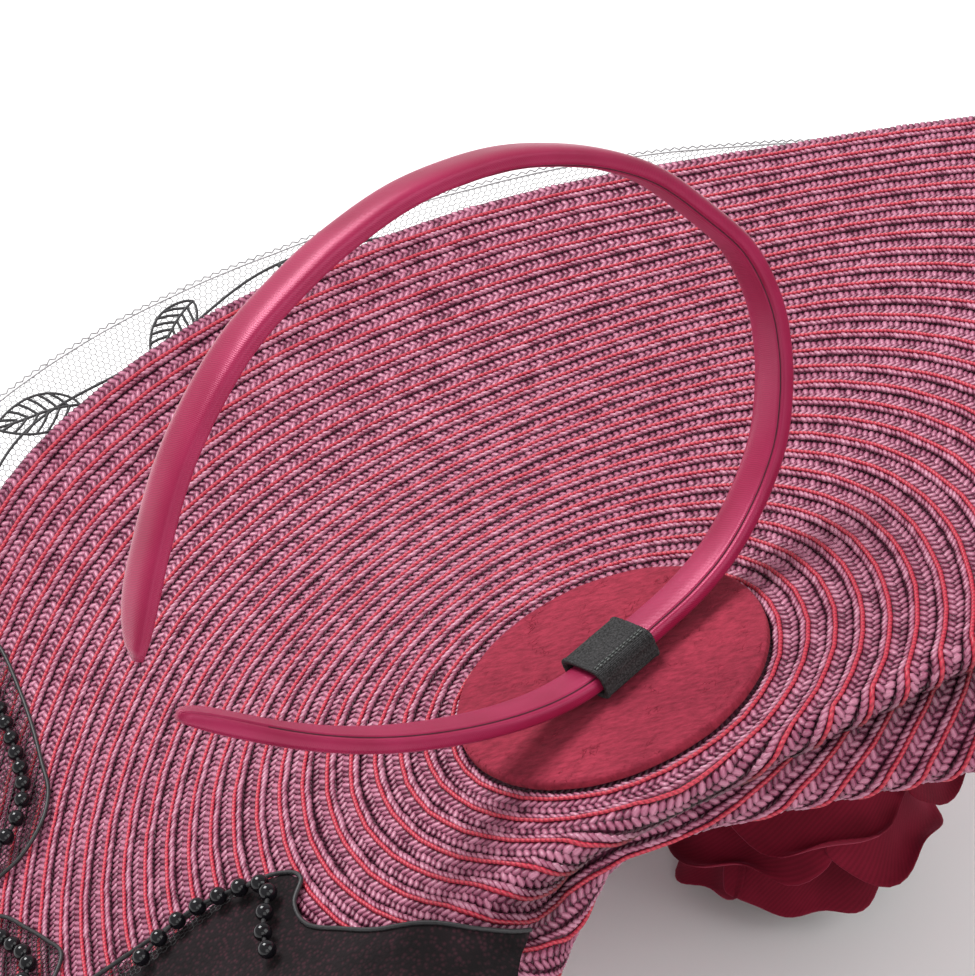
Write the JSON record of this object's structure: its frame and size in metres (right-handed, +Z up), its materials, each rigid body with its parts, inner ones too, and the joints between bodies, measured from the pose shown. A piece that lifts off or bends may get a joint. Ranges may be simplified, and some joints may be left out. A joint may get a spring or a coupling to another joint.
{
  "type": "saucer fascinator",
  "caption": "Wide saucer fascinator of sewn braid with a folded-under brim, net lace, fabric roses and a satin headband on a felt base, lying upside down.",
  "frame": {"origin": "on the floor, under the middle of the bounding box, with the fascinator lying upside down", "axes": "+Z up; the picture looks along +Y and down, with the folded brim and the near rose on the -Y side"},
  "size_m": [0.3652, 0.3266, 0.2175],
  "materials": {
    "sewn_braid": "shiny sewn braid, mauve with red strand lines",
    "felt": "burgundy wool felt",
    "satin": "padded burgundy satin",
    "elastic": "black ribbed elastic",
    "grey_net": "fine grey net with black corded leaves",
    "black_net": "fine black net lace",
    "pearl": "glossy black pearl",
    "velvet": "burgundy velvet and twill petals",
    "petal": "bright magenta petals"
  },
  "bodies": {
    "root": {"straw_saucer": "sewn_braid", "straw_flap": "sewn_braid", "felt_base": "felt", "headband": "satin", "elastic_loop": "elastic", "lace_border": "grey_net", "lace_lap": "black_net", "beads_left_leaf": "pearl", "beads_near_leaf": "pearl", "beads_low_leaf": "pearl", "rose_near": "velvet", "rose_end": "petal"}
  },
  "joints": []
}
